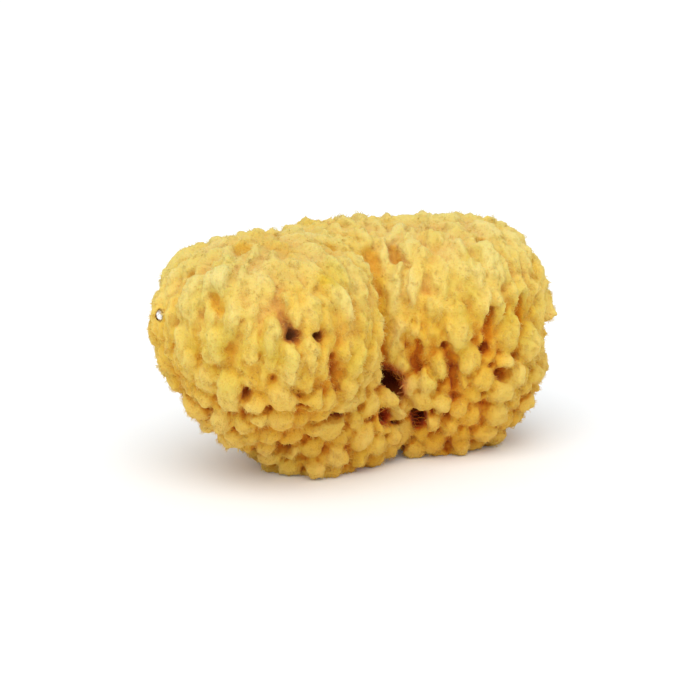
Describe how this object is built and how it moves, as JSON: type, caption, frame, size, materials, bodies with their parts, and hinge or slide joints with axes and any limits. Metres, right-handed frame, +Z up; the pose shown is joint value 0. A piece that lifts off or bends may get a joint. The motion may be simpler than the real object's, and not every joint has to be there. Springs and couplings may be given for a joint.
{
  "type": "sea sponge",
  "caption": "Natural bath sponge: golden skeleton of a sea sponge, grown in twin lobes, with tufts, knobs and dark pits, cut flat underneath.",
  "frame": {"origin": "centre of the sponge's bounding box in plan, on the plane of its flat cut underside", "axes": "+X along the sponge, from the larger front lobe to the smaller rear one; -Y the front, with the furrow; +Z up"},
  "size_m": [0.1592, 0.1063, 0.0903],
  "materials": {
    "sponge_skeleton": "matt, dry, soft spongin fibre, golden yellow with orange-brown pits"
  },
  "bodies": {
    "root": {"sponge": "sponge_skeleton"}
  },
  "joints": []
}
